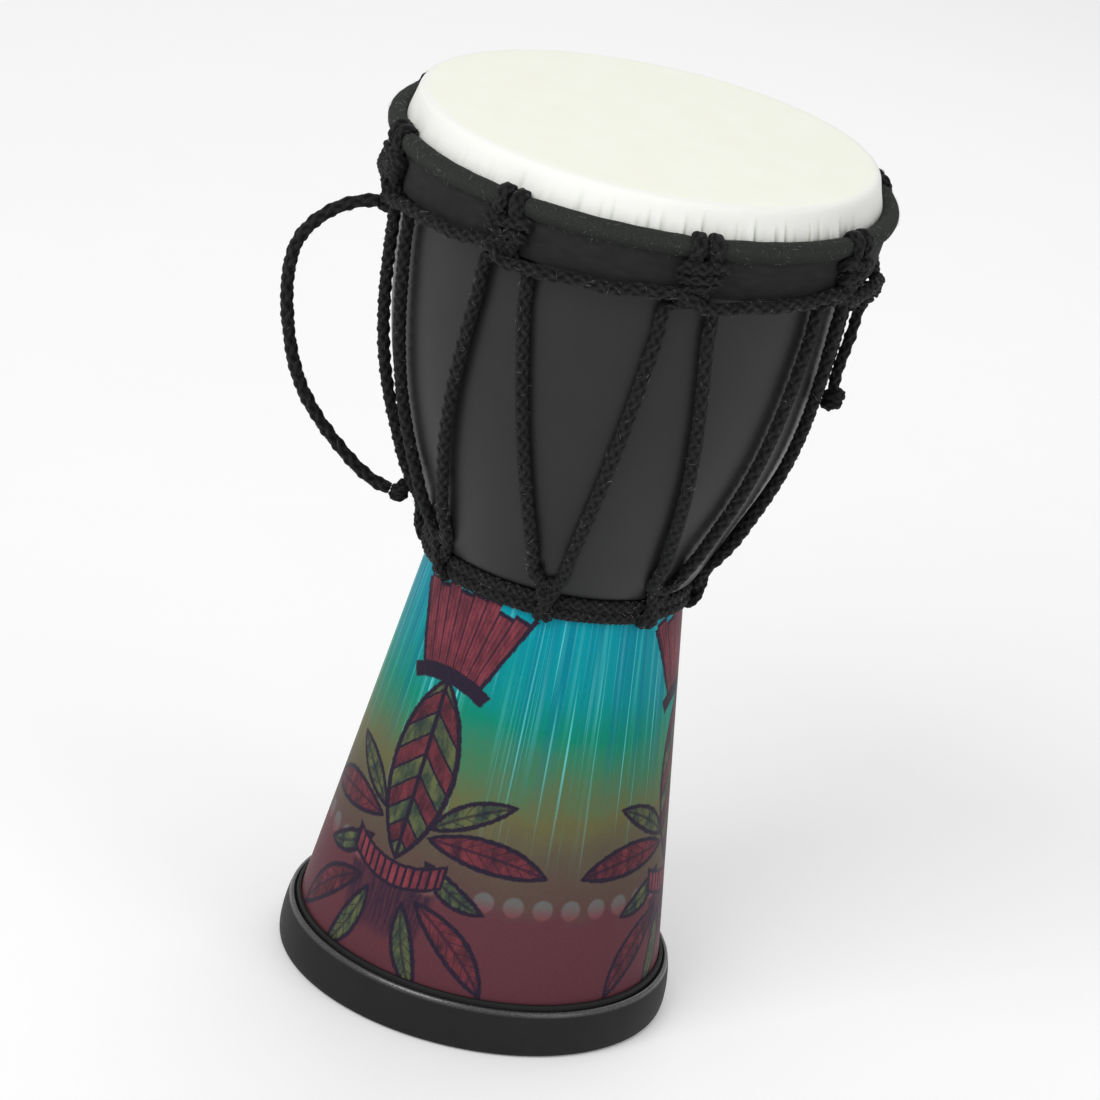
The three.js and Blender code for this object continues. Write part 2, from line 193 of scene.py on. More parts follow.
def grid_faces(rows, columns, wrap_rows=False):
    """Four-sided faces between the points of a grid, whose rows are rings that follow each other."""
    i = np.arange(rows if wrap_rows else rows - 1)[:, None]
    j = np.arange(columns)[None, :]
    i2, j2 = (i + 1) % rows, (j + 1) % columns
    quad = np.stack([i * columns + j, i * columns + j2, i2 * columns + j2, i2 * columns + j], axis=-1)
    return quad.reshape(-1, 4).tolist()


def turned(name, outline, finish, segments=288, shape=None, soft_angle=38):
    """A closed outline of (radius, height), turned about the drum's axis.
    shape(radius, z, angle) gives each point's own radius and height."""
    angle = np.linspace(0, TAU, segments, endpoint=False)
    outline = np.asarray(outline, float)
    radius, z = (np.repeat(outline[:, k : k + 1], segments, axis=1) for k in (0, 1))
    if shape:
        radius, z = shape(radius, z, angle[None, :])
    points = np.stack([radius * np.cos(angle), radius * np.sin(angle), z], axis=-1)
    faces = grid_faces(len(outline), segments, wrap_rows=True)
    return new_mesh(name, points.reshape(-1, 3), faces, finish, soft_angle)


def frames_along(line, closed):
    """Two directions across a line at each point, turning with it as little as they can."""
    ahead = np.roll(line, -1, axis=0) - np.roll(line, 1, axis=0) if closed else np.gradient(line, axis=0)
    ahead /= np.linalg.norm(ahead, axis=1)[:, None]
    outward = line * [1, 1, 0]
    across = np.zeros_like(line)
    first = outward[0] - ahead[0] * (outward[0] @ ahead[0])
    across[0] = first / np.linalg.norm(first)
    for i in range(1, len(line)):
        turn = across[i - 1] - ahead[i] * (across[i - 1] @ ahead[i])
        across[i] = turn / np.linalg.norm(turn)
    other = np.cross(ahead, across)
    if closed:
        gap = math.atan2(across[-1] @ other[0], across[-1] @ across[0])
        twist = -gap * np.arange(len(line)) / len(line)
        c, s = np.cos(twist)[:, None], np.sin(twist)[:, None]
        across, other = across * c + other * s, other * c - across * s
    return across, other


def plaited(
    line, radius, closed=False, flat=(1, 1), sides=24, turn=PLAIT_TURN, wear=0.0, taper=0.0, seed=0
):
    """The points, faces and plait coordinates of a rope of eight strands along a line. Half of
    the strands wind each way, over and under each other, and the surface is their outside."""
    along = np.arange(len(line)) * np.linalg.norm(line[1] - line[0])
    if closed:
        length = along[-1] + np.linalg.norm(line[0] - line[-1])
        turn = length / round(length / turn)
    wind = TAU * along / turn
    theta = np.linspace(0, TAU, sides, endpoint=False)[None, :]
    # How far out a strand's middle lies, how much it rises and falls, its own size, and the core
    middle, lift, thick, wide, core = (radius * share for share in (0.56, 0.13, 0.34, 0.4, 0.64))
    best = np.full((len(line), sides), core)
    side = np.zeros_like(best)
    for way in (1, -1):
        out = (middle + way * lift * np.cos(4 * wind))[:, None]
        for k in range(4):
            gap = theta - (way * wind + TAU * k / 4)[:, None]
            offset = out * np.sin(gap) / wide
            inside = (np.abs(offset) < 1) & (np.cos(gap) > 0)
            here = out * np.cos(gap) + thick * np.sqrt(np.clip(1 - offset**2, 0, 1))
            wins = inside & (here > best)
            best = np.where(wins, here, best)
            side = np.where(wins, offset * way + 3 * k, side)
    if taper:  # the ends are pressed narrow where they pass under something
        ends = np.minimum(along, along[-1] - along) / (2 * radius)
        best *= (1 - taper * np.clip(1 - ends, 0, 1) ** 2)[:, None]
    if wear:
        bumps = np.random.default_rng(seed).normal(0, wear, len(line) // 6 + 2)
        best *= 1 + np.interp(np.arange(len(line)), np.arange(len(bumps)) * 6, bumps)[:, None]
    across, other = frames_along(line, closed)
    points = (
        line[:, None, :]
        + flat[0] * best[:, :, None] * np.cos(theta)[:, :, None] * across[:, None, :]
        + flat[1] * best[:, :, None] * np.sin(theta)[:, :, None] * other[:, None, :]
    )
    crest = (best - core) / (radius - core)
    facts = np.stack([side, np.repeat(along[:, None], sides, axis=1), crest], axis=-1).reshape(-1, 3)
    points, faces = points.reshape(-1, 3), grid_faces(len(line), sides, wrap_rows=closed)
    if not closed:
        ends = (line[0] - (line[1] - line[0]), line[-1] + (line[-1] - line[-2]))
        points = np.vstack([points, ends])
        facts = np.vstack([facts, facts[0], facts[-1]])
        start, finish = len(points) - 2, len(points) - 1
        last = (len(line) - 1) * sides
        for j in range(sides):
            k = (j + 1) % sides
            faces += [[start, k, j], [finish, last + j, last + k]]
    return points, faces, facts


def rope_piece(name, *parts):
    """One piece from plaited parts, with the plait coordinates that the rope's material reads."""
    points, faces, facts, base = [], [], [], 0
    for part_points, part_faces, part_facts in parts:
        points.append(part_points)
        faces += [[base + v for v in f] for f in part_faces]
        facts.append(part_facts)
        base += len(part_points)
    piece = new_mesh(name, np.vstack(points), faces, ROPE)
    plait = piece.data.attributes.new("plait", "FLOAT_VECTOR", "POINT")
    plait.data.foreach_set("vector", np.vstack(facts).astype(np.float32).ravel())
    return piece


def triples(data, what):
    """One vector for each vertex of a mesh, as rows."""
    values = np.zeros(len(data) * 3, np.float32)
    data.foreach_get(what, values)
    return values.reshape(-1, 3)


def lint(name, pieces, count, finish, seed, length=(1.5, 4.5), lift=0.5, thickness=0.055):
    """Loose fibres lying on the given pieces, each a thin bent thread."""
    rng = np.random.default_rng(seed)
    spots = np.vstack([triples(piece.data.vertices, "co") for piece in pieces]) / MM
    normals = np.vstack([triples(piece.data.vertex_normals, "vector") for piece in pieces])
    points, faces = [], []
    rings, sides = 6, 3
    for i in rng.integers(0, len(spots), count):
        normal = normals[i]
        run = np.cross(normal, rng.normal(size=3))
        run /= np.linalg.norm(run) + 1e-9
        side = np.cross(normal, run)
        span = rng.uniform(*length)
        bend, rise = rng.normal(0, 0.35) * span, rng.uniform(0.3, 1) * lift
        t = np.linspace(-0.5, 0.5, rings)[:, None]
        middle = spots[i] + run * t * span + side * bend * (t**2) + normal * rise * (1 - (2 * t) ** 2) * 0.8
        width = thickness * (1 - 0.7 * np.abs(2 * t))
        base = len(points) * rings * sides
        ring = [
            middle + width * (normal * math.cos(TAU * k / sides) + side * math.sin(TAU * k / sides))
            for k in range(sides)
        ]
        points.append(np.stack(ring, axis=1).reshape(-1, 3))
        last = base + (rings - 1) * sides
        faces += [[base + corner for corner in face] for face in grid_faces(rings, sides)]
        faces += [[base + 2, base + 1, base], [last, last + 1, last + 2]]
    return new_mesh(name, np.vstack(points), faces, finish)


# ---- materials


class Number:
    """A value that a material's nodes work out. Arithmetic on it adds nodes."""

    def __init__(self, paint, socket):
        self.paint, self.socket = paint, socket

    def __rsub__(self, other):
        return self.paint.math("SUBTRACT", other, self)

    def step(self, low, high):
        """0 below low, 1 above high, and a smooth rise between them."""
        return self.paint.rise(self, low, high)


def number_method(operation):
    """A method that adds one math node."""
    return lambda self, *others: self.paint.math(operation, self, *others)


for method, operation in {
    "__add__": "ADD", "__radd__": "ADD", "__sub__": "SUBTRACT", "__mul__": "MULTIPLY",
    "__rmul__": "MULTIPLY", "__truediv__": "DIVIDE", "power": "POWER", "root": "SQRT",
    "sine": "SINE", "arctan2": "ARCTAN2", "abs": "ABSOLUTE", "min": "MINIMUM", "max": "MAXIMUM",
    "floor": "FLOOR", "fraction": "FRACT", "wrap": "WRAP",
}.items():
    setattr(Number, method, number_method(operation))


class Paint:
    """A material, the nodes that work it out and the shader that they feed."""

    def __init__(self, name, **shader):
        self.material = bpy.data.materials.new(name)
        self.material.use_nodes = True
        self.tree = self.material.node_tree
        self.shader = self.tree.nodes["Principled BSDF"]
        for socket, value in shader.items():
            self.shader.inputs[socket.replace("_", " ")].default_value = value

    def node(self, kind, *values, **sockets):
        """A node, its inputs fed in order or by name."""
        made = self.tree.nodes.new(kind)
        for socket, value in zip(made.inputs, values):
            self.feed(socket, value)
        for socket, value in sockets.items():
            self.feed(made.inputs[socket.replace("_", " ")], value)
        return made

    def feed(self, socket, value):
        if isinstance(value, Number):
            value = value.socket
        if isinstance(value, bpy.types.NodeSocket):
            self.tree.links.new(value, socket)
        else:
            socket.default_value = value

    def math(self, operation, *values):
        made = self.node("ShaderNodeMath", *values)
        made.operation = operation
        return Number(self, made.outputs[0])

    def rise(self, value, low, high):
        made = self.node("ShaderNodeMapRange", Value=value, From_Min=low, From_Max=high)
        made.interpolation_type = "SMOOTHSTEP"
        return Number(self, made.outputs["Result"])

    def split(self, vector):
        made = self.node("ShaderNodeSeparateXYZ", Vector=vector)
        return [Number(self, out) for out in made.outputs]

    def place(self):
        """The point's x, y and z on the piece, in millimetres, and the vector of all three."""
        metres = self.node("ShaderNodeTexCoord").outputs["Object"]
        x, y, z = (part * (1 / MM) for part in self.split(metres))
        return x, y, z, self.vector(x, y, z)

    def told(self, attribute, output):
        """What one of the mesh's attributes says."""
        made = self.node("ShaderNodeAttribute")
        made.attribute_name = attribute
        return made.outputs[output]

    def vector(self, x, y=0.0, z=0.0):
        return self.node("ShaderNodeCombineXYZ", x, y, z).outputs[0]

    def noise(self, vector, scale=1.0, detail=2.0, roughness=0.5):
        made = self.node(
            "ShaderNodeTexNoise", Vector=vector, Scale=scale, Detail=detail, Roughness=roughness
        )
        return Number(self, made.outputs["Fac"])

    def mix(self, share, first, second):
        made = self.tree.nodes.new("ShaderNodeMix")
        made.data_type = "RGBA"
        self.feed(made.inputs["Factor"], share)
        self.feed(made.inputs["A"], first)
        self.feed(made.inputs["B"], second)
        return made.outputs["Result"]

    def ramp(self, value, stops):
        made = self.node("ShaderNodeValToRGB", Fac=value)
        elements = made.color_ramp.elements
        elements[0].position, elements[0].color = stops[0]
        elements[1].position, elements[1].color = stops[-1]
        for position, colour in stops[1:-1]:
            elements.new(position).color = colour
        return made.outputs["Color"]

    def bump(self, height, distance, strength=1.0, below=None):
        made = self.node("ShaderNodeBump", Height=height, Distance=distance * MM, Strength=strength)
        if below is not None:
            self.feed(made.inputs["Normal"], below)
        return made.outputs["Normal"]

    def finish(self, **sockets):
        """Feeds the shader's inputs and gives the material."""
        for socket, value in sockets.items():
            self.feed(self.shader.inputs[socket.replace("_", " ")], value)
        return self.material


def tone(red, green, blue):
    """A colour from its 0 to 255 screen values."""
    def linear(value):
        value /= 255
        return value / 12.92 if value <= 0.04045 else ((value + 0.055) / 1.055) ** 2.4

    return (linear(red), linear(green), linear(blue), 1)


def shell_paint():
    """Moulded charcoal plastic with a fine, even grain."""
    paint = Paint("charcoal_shell", Specular_IOR_Level=0.3)
    at = paint.place()[3]
    grain = paint.noise(at, 3.2, 3.0, 0.6)
    cloud = paint.noise(at, 0.05, 3.0)
    colour = paint.mix(cloud, tone(27, 27, 28), tone(34, 34, 34))
    colour = paint.mix(grain.step(0.62, 0.8) * 0.35, colour, tone(84, 84, 84))
    bump = paint.bump(grain, 0.05, 0.35)
    return paint.finish(Base_Color=colour, Roughness=0.33 + 0.14 * grain, Normal=bump)


def rubber_paint():
    """Satin black moulded rubber, rubbed shiny on its bead, with pale specks on the bead that are painted
    glints.
    """
    paint = Paint("foot_rubber", Specular_IOR_Level=0.2, Coat_Roughness=0.3, Coat_IOR=2.0)
    x, y, z, at = paint.place()
    grain = paint.noise(at, 2.4, 4.0, 0.65)
    speck = paint.noise(at, 5.5, 1.0)
    colour = paint.mix(paint.noise(at, 0.08), tone(22, 23, 23), tone(32, 32, 32))
    radius = (x * x + y * y).root()
    bead = z.step(FOOT_TOP - 2.4, FOOT_TOP - 0.9) * radius.step(BEAD_FOOT_RADIUS, BEAD_FOOT_RADIUS + 0.4)
    # Pale specks on the bead: painted glints, not wear
    colour = paint.mix(bead * speck.step(0.48, 0.6) * 0.4, colour, tone(110, 110, 112))
    return paint.finish(
        Base_Color=colour,
        Roughness=0.5 + 0.2 * grain - 0.2 * bead,
        Coat_Weight=bead * (0.12 + 0.88 * speck.step(0.42, 0.6)),
        Normal=paint.bump(grain, 0.09, 0.5),
    )


def head_paint():
    """A matt off-white synthetic head, creamier on top than on its skirt, with painted shade in its
    creases.
    """
    paint = Paint(
        "head_skin", Roughness=0.62, Specular_IOR_Level=0.25,
        Subsurface_Weight=0.08, Subsurface_Radius=(0.004, 0.004, 0.003),
    )
    x, y, _, at = paint.place()
    mottle = paint.noise(at, 0.06, 3.0, 0.6)
    fleck = paint.noise(at, 1.6, 3.0, 0.7)
    top = paint.mix(mottle, tone(243, 244, 229), tone(249, 250, 239))
    radius = (x * x + y * y).root()
    skirt = radius.step(80.5, 83.5)
    colour = paint.mix(skirt, top, tone(242, 243, 238))
    # Painted shade: greyer where the skirt lies deep in a crease
    colour = paint.mix(paint.told("crease", "Fac"), colour, tone(205, 208, 198))
    return paint.finish(Base_Color=colour, Normal=paint.bump(fleck, 0.05, 0.3))


def steel_paint():
    """Zinc-plated steel with short drawing marks and dull patches."""
    paint = Paint("hoop_steel", Metallic=1.0)
    x, y, z, at = paint.place()
    marks = paint.noise(paint.vector(y.arctan2(x) * 8, z * 3, x * 0.05), 1.0, 4.0)
    spangle = paint.noise(at, 0.3, 2.0)
    colour = paint.mix(spangle, tone(150, 153, 158), tone(196, 199, 202))
    bump = paint.bump(marks, 0.03, 0.3)
    return paint.finish(Base_Color=colour, Roughness=0.28 + 0.25 * marks, Normal=bump)


def felt_paint():
    """Black brushed felt with a green cast and an uneven nap, with painted shade on its underside."""
    paint = Paint(
        "black_felt", Roughness=0.95, Specular_IOR_Level=0.05,
        Sheen_Weight=0.06, Sheen_Roughness=0.5, Sheen_Tint=tone(180, 186, 180),
    )
    _, _, z, at = paint.place()
    nap = paint.noise(at, 2.6, 5.0, 0.75)
    tuft = paint.noise(at, 0.45, 3.0, 0.6)
    colour = paint.mix(nap.step(0.35, 0.7), tone(36, 38, 36), tone(61, 64, 61))
    colour = paint.mix(tuft.step(0.35, 0.75) * 0.4, colour, tone(50, 53, 50))
    # Painted shade: darker below the roll's middle
    colour = paint.mix((1 - z.step(ROLL_FOOT - 0.5, ROLL_Z + 1)) * 0.6, colour, tone(33, 34, 33))
    return paint.finish(Base_Color=colour, Normal=paint.bump(nap + tuft, 0.35, 0.8))


def cloth_paint():
    """A closely woven black cloth band."""
    paint = Paint(
        "black_cloth", Roughness=0.88, Specular_IOR_Level=0.08, Sheen_Weight=0.04, Sheen_Roughness=0.5
    )
    x, y, z, _ = paint.place()
    angle, thread = y.arctan2(x), 0.9
    warp = (angle * (BAND_RADIUS * TAU / thread)).sine()
    weft = (z * (TAU / thread)).sine()
    weave = warp * weft
    cloud = paint.noise(paint.vector(x, y, z * 2.5), 0.16, 4.0)
    colour = paint.mix(cloud, tone(28, 28, 28), tone(45, 46, 45))
    colour = paint.mix(weave.step(0.2, 1.0) * 0.1, colour, tone(56, 57, 57))
    crease = paint.bump(cloud, 0.5, 0.5)
    return paint.finish(Base_Color=colour, Normal=paint.bump(weave, 0.03, 0.3, below=crease))


def rope_paint():
    """Black plaited synthetic rope: fine yarns along each strand, with painted shade in the hollows between
    the strands and painted glints on their crests.
    """
    paint = Paint(
        "black_rope", Specular_IOR_Level=0.14,
        Sheen_Weight=0.06, Sheen_Roughness=0.45, Sheen_Tint=tone(190, 192, 194),
    )
    side, along, crest = paint.split(paint.told("plait", "Vector"))
    x, _, _, at = paint.place()
    yarn = paint.noise(paint.vector(side * 7, along * 0.45, 0.0), 1.0, 4.0, 0.7)
    glint = paint.noise(paint.vector(side * 12 + 40, along * 0.8, x * 0.3), 1.0, 2.0, 0.6)
    patch = paint.noise(at, 0.22, 3.0)
    # Painted shade: darker away from the crests, in the hollows between strands
    colour = paint.mix(crest.step(0.1, 0.95), tone(9, 9, 10), tone(29, 29, 30))
    colour = paint.mix(yarn.step(0.52, 0.72) * crest * 0.5, colour, tone(68, 69, 70))
    # Painted glints on the crests
    colour = paint.mix(glint.step(0.64, 0.72) * crest.step(0.4, 0.9) * 0.75, colour, tone(112, 114, 115))
    colour = paint.mix(patch.step(0.55, 0.75) * 0.3, colour, tone(44, 43, 42))
    bump = paint.bump(yarn, 0.3, 1.0)
    return paint.finish(Base_Color=colour, Roughness=0.78 - 0.3 * yarn, Normal=bump)


def lint_paint(name, pale):
    """Loose fibres, some paler than others."""
    paint = Paint(name, Roughness=0.8, Specular_IOR_Level=0.3)
    speck = paint.noise(paint.place()[3], 0.8, 1.0)
    return paint.finish(Base_Color=paint.mix(speck.step(0.4, 0.65), tone(40, 41, 41), pale))


# The print repeats three times round the stem. Lengths are millimetres on the stem's surface:
# u across the motif from its middle, v the height.
MOTIF_AZ = math.radians(-124)
MOTIFS = 3
SEAM_AZ = math.radians(1)
DOTS = 36
DOT_Z = 56
FAN_FOOT_Z = 99
BLADE_TURN = 0.093  # radians from one blade of the fan to the next
INK = tone(40, 32, 48)


def leaf(u, v, start, degrees, length, width, bow=0.0):
    """How far inside a leaf a point is, and the distance along and across it. The leaf grows
    from its start, tapers at both ends and bows to its left."""
    c, s = math.cos(math.radians(degrees)), math.sin(math.radians(degrees))
    du, dv = u - start[0], v - start[1]
    along = du * c + dv * s
    share = along / length
    belly = share * (1 - share) * 4
    across = dv * c - du * s - belly * bow
    beyond = ((share - 0.5).abs() - 0.5).max(0) * 50
    return belly.max(0).power(0.8) * width - across.abs() - beyond - 0.35, along, across


def print_paint():
    """The stem's printed film: bands of colour, falling light and a fan of leaves."""
    paint = Paint("printed_film", Specular_IOR_Level=0.05)
    x, y, z, at = paint.place()
    angle = y.arctan2(x)
    radius = (x * x + y * y).root()
    cloud = paint.noise(at, 0.045, 4.0, 0.6)
    grit = paint.noise(at, 2.2, 3.0, 0.7)

    # Bands of colour up the stem
    level = (z + (cloud - 0.5) * 26 - SLEEVE_FOOT) / (SLEEVE_TOP - SLEEVE_FOOT)
    colour = paint.ramp(level, [
        (0.0, tone(90, 48, 57)), (0.22, tone(92, 52, 60)), (0.27, tone(86, 66, 62)),
        (0.4, tone(88, 80, 66)), (0.5, tone(98, 98, 64)), (0.6, tone(64, 116, 84)),
        (0.7, tone(8, 128, 104)), (0.8, tone(0, 136, 138)), (1.0, tone(0, 144, 162)),
    ])

    # Light falling from the top: bright rays of three widths over broad soft ones
    rays = [
        # how close together, where they start to show, where they are full, strength, lowest height
        (13, 0.54, 0.7, 0.3, 92), (26, 0.58, 0.72, 0.7, 62), (52, 0.6, 0.72, 0.28, 84),
    ]
    fade = 62
    broad = paint.noise(paint.vector(angle * 9 + 31, z * 0.004, 0.0), 1.0, 2.0)
    colour = paint.mix(broad.step(0.42, 0.66) * z.step(84, 150) * 0.5, colour, tone(0, 100, 132))
    for often, low, high, share, foot in rays:
        ray = paint.noise(paint.vector(angle * often + often, z * 0.005, 0.0), 1.0, 2.0, 0.6)
        lit = ray.step(low, high) * z.step(foot, foot + fade)
        colour = paint.mix(lit * share, colour, tone(112, 218, 222))

    # A row of soft discs above the ground
    dot_u = (angle * (DOTS / TAU)).wrap(0.5, -0.5) * radius * (TAU / DOTS)
    dot_v = z - DOT_Z
    dot = (dot_u * dot_u + dot_v * dot_v).root()
    dot_colour = paint.mix(dot_v.step(-4, 3), tone(134, 82, 86), tone(112, 126, 128))
    colour = paint.mix((1 - dot.step(3.3, 4.5)) * 0.42, colour, dot_colour)

    u = (angle - MOTIF_AZ).wrap(math.pi / MOTIFS, -math.pi / MOTIFS) * radius
    both, v = u.abs(), z
    stroke = (grit - 0.5) * 1.3 + (paint.noise(at, 0.5, 2.0) - 0.5) * 1.2
    brush = paint.noise(paint.vector(u, v * 0.35, radius), 0.22, 4.0, 0.65)
    warm = paint.mix(brush.step(0.3, 0.7), tone(62, 36, 46), tone(112, 52, 60))
    cool = paint.mix(brush.step(0.35, 0.65), tone(46, 60, 56), tone(92, 98, 64))
    plume = paint.mix(brush.step(0.35, 0.7), tone(92, 44, 54), tone(132, 60, 70))

    def lay(colour, inside, fill, edge=1.5):
        """Ink where a shape is, and its own fill inside the inked edge."""
        inside = inside + stroke
        colour = paint.mix(inside.step(-0.3, 0.35), colour, INK)
        return paint.mix(inside.step(edge - 0.3, edge + 0.45), colour, fill)

    # A dark fringe under the pleated band
    strand = paint.noise(paint.vector(u * 0.9, v * 0.05, 2.0), 1.0, 3.0, 0.7)
    fringe = ((v - 22 - strand * 14) / 6).min((21 - both - (50 - v) * 0.12) / 3).min((54 - v) / 3)
    shade = fringe.step(0, 1) * (0.5 + 0.45 * strand.step(0.42, 0.56))
    colour = paint.mix(shade, colour, tone(52, 36, 52))

    # Fronds to both sides and below, inked, with a midrib and side veins
    fronds = [
        # start, degrees, length, width, bow, fill
        ((12, 49), -40, 47, 6.5, 3.0, warm), ((8, 47), -66, 36, 5.5, -2.0, cool),
        ((10, 76), 30, 36, 5.5, 2.0, cool), ((10, 73), -6, 50, 7.0, 3.0, warm),
        ((12, 65), -27, 32, 5.0, -2.0, cool),
    ]
    for start, degrees, length, width, bow, fill in fronds:
        inside, along, across = leaf(both, v, start, degrees, length, width, bow)
        rib = 1 - across.abs().step(0.35, 0.8)
        veins = ((along - across.abs() * 1.3) / 5.2).fraction().step(0.8, 0.94)
        colour = lay(colour, inside, paint.mix(rib.max(veins) * 0.7, fill, INK), 1.7)

    # The tall middle leaf, crossed by chevrons
    inside, along, across = leaf(u, v, (0, 60), 90, 73, 15.5)
    chevron = (v + both * 0.9 + stroke) / 8.5
    row = chevron.fraction()
    fill = paint.mix((chevron * 0.5).fraction().step(0.47, 0.53), warm, cool)
    fill = paint.mix((1 - row.step(0.1, 0.2)).max(1 - both.step(0.6, 1.2)), fill, INK)
    colour = lay(colour, inside, fill, 2.2)

    # A pleated band across the foot of the leaf
    sag = both * both * 0.013
    inside = (v - 50 - sag).min(60 - v + sag).min(22 - both)
    pleat = ((u + stroke * 0.4) / 3.3).fraction().step(0.56, 0.72)
    colour = lay(colour, inside, paint.mix(pleat, plume, INK), 1.3)

    # The fan of blades at the top, on a dark foot
    fan_v = v - FAN_FOOT_Z
    rho = (u * u + fan_v * fan_v).root()
    phi = u.arctan2(fan_v) + (brush - 0.5) * 0.02
    blade = phi / BLADE_TURN
    ragged = paint.noise(paint.vector(blade.floor() * 3.7, 2.0, 0.0), 1.0, 0.0)
    inside = (58 + ragged * 20 - rho).min(rho - 36).min((0.4 - phi.abs()) * rho)
    vein = 1 - (phi / (BLADE_TURN / 3)).fraction().step(0.1, 0.4)
    cuts = (1 - blade.fraction().step(0.08, 0.2)).max(vein * 0.5)
    colour = lay(colour, inside, paint.mix(cuts * 0.9, plume, INK), 1.6)
    foot = (rho - 31.5).min(37.5 - rho).min((0.52 - phi.abs()) * rho)
    colour = paint.mix((foot + stroke).step(-0.3, 0.5), colour, INK)
    colour = paint.mix(grit.step(0.45, 0.8) * 0.035, colour, tone(200, 200, 200))

    # The bare seam where the film's edges meet
    seam = (angle - SEAM_AZ).wrap(math.pi, -math.pi).abs() * radius
    colour = paint.mix(1 - seam.step(1.0, 1.3), colour, tone(62, 60, 66))
    bump = paint.bump(grit, 0.03, 0.35)
    return paint.finish(Base_Color=colour, Roughness=0.38 + 0.16 * grit, Normal=bump)


SHELL = shell_paint()
RUBBER = rubber_paint()
SKIN = head_paint()
STEEL = steel_paint()
FELT = felt_paint()
CLOTH = cloth_paint()
ROPE = rope_paint()
PRINT = print_paint()
ROPE_LINT = lint_paint("rope_fibres", tone(138, 139, 140))
FELT_LINT = lint_paint("felt_fibres", tone(165, 167, 162))


def settle(piece, slot, *nodes, body="root"):
    """Puts a finished piece on its body, in place of CAD nodes. The slot argument is not used."""
    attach(piece, body)
    if nodes:
        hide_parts(*nodes)
    return piece


# ---- camera, light and floor


def portrait_camera():
    """The photograph's viewpoint: in front of the drum, looking down, rolled to the right."""
    yaw, pitch, roll = -0.0023, -0.3718, 0.21287  # radians
    place, focal_length, sensor = (0, -1.59413, 0.79477), 149.99, 36
    camera = add_object("portrait_camera", bpy.data.cameras.new("portrait_camera"))
    camera.data.lens, camera.data.sensor_width = focal_length, sensor
    aim = Matrix.Rotation(-yaw, 4, "Z") @ Matrix.Rotation(math.pi / 2 + pitch, 4, "X")
    camera.matrix_world = Matrix.Translation(place) @ aim @ Matrix.Rotation(roll, 4, "Z")
    bpy.context.scene.camera = camera


def softbox(name, place, aim, width, height, power):
    """A lamp of a width and height in metres and a power in watts."""
    lamp = bpy.data.lights.new(name, "AREA")
    lamp.shape, lamp.size, lamp.size_y, lamp.energy = "RECTANGLE", width, height, power
    box = add_object(name, lamp)
    box.location = place
    box.rotation_euler = (Vector(aim) - Vector(place)).to_track_quat("-Z", "Y").to_euler()


def studio():
    """A pale floor that runs out of sight, an even bright room and three softboxes."""
    reach_out = 30000
    corners = [(reach_out * x, reach_out * y, 0) for x, y in ((-1, -1), (1, -1), (1, 1), (-1, 1))]
    paint = Paint(
        "floor_paper", Roughness=0.9, Specular_IOR_Level=0.1,
        Emission_Color=(1, 1, 1, 1), Emission_Strength=0.11,
    )
    fibre = paint.noise(paint.place()[3], 0.02, 3.0)
    paper = paint.finish(Base_Color=paint.mix(fibre, (0.94, 0.94, 0.94, 1), (0.955, 0.955, 0.955, 1)))
    floor = new_mesh("floor", corners, [(0, 1, 2, 3)], paper)
    floor.location.z = -0.0003

    world = bpy.data.worlds.new("room")
    world.use_nodes = True
    light = world.node_tree.nodes["Background"].inputs
    light["Color"].default_value = (1, 1, 1, 1)
    light["Strength"].default_value = 0.55
    bpy.context.scene.world = world
    bpy.context.scene.view_settings.view_transform = "Standard"

    middle = (0, 0, HEIGHT * MM / 2)
    softbox("key", (-0.9, -1.3, 1.5), middle, 1.2, 1.2, 20)
    softbox("fill", (1.5, -1.0, 0.8), middle, 1.0, 1.4, 4.4)
    softbox("back", (0.3, 1.5, 1.6), middle, 1.6, 1.0, 8)


# ---- shells


def stem_radius(z):
    return SLEEVE_RADIUS - STEM_SLOPE * (z - SLEEVE_FOOT)


def bowl():
    """The upper moulding, from the neck over the spigot up to a rounded rim."""
    inner = bowl_line + WALL * np.stack([-bowl_slope[:, 1], bowl_slope[:, 0]], axis=1)
    rim = smooth([
        (84.6, 334), (84.5, 336.5), (84.1, 338.3), (83.4, 339.8),
        (82.5, 340.4), (81.5, 340.1), (80.9, 338.6), (80.8, 336),
    ], 0.5)
    outline = np.vstack([
        [(46.8, NECK_BASE), (46.8, 175.6), (48.4, 176.1), (50.6, 176.8)],
        bowl_line[::4], rim, inner[::-1][8:-12:5],
        [(46.6, 182.5), (44.2, 178.4), (43.4, 176.6), (43.4, 175.7), (45.2, 175.7), (45.2, NECK_BASE)],
    ])
    return turned("bowl", outline, SHELL)


def stem():
    """The lower moulding: a flared tube under the film, with the spigot at its top."""
    skin, lining = 0.9, 4.4  # how far its faces lie inside the film's outside
    foot, top = 3, NECK_BASE - 0.3
    outer = [(stem_radius(z) - skin, z) for z in (foot, 60, 115, top)]
    spigot = [
        (44.9, top), (44.9, 174.8), (44.4, 175.4), (43.5, 175.4), (43, 174.9), (43, 167), (43.3, 164.5),
    ]
    inner = [(stem_radius(z) - lining, z) for z in (158, 110, 60, foot)]
    return turned("stem", outer + spigot + inner, SHELL)


def sleeve():
    """The printed film. One edge laps over the other at the seam."""
    film, ridge, eases = 0.6, 0.14, 60
    rows = np.linspace(SLEEVE_FOOT, SLEEVE_TOP, 12)
    outer = [(stem_radius(z), z) for z in rows]
    inner = [(stem_radius(z) - film, z) for z in rows[::-1]]

    def lap(radius, z, angle):
        past = (angle - SEAM_AZ) % TAU * radius
        return radius + ridge * (past > 1.2) - ridge * np.clip(past / eases - 0.02, 0, 1), z

    return turned("printed_sleeve", outer + inner, PRINT, segments=540, shape=lap)


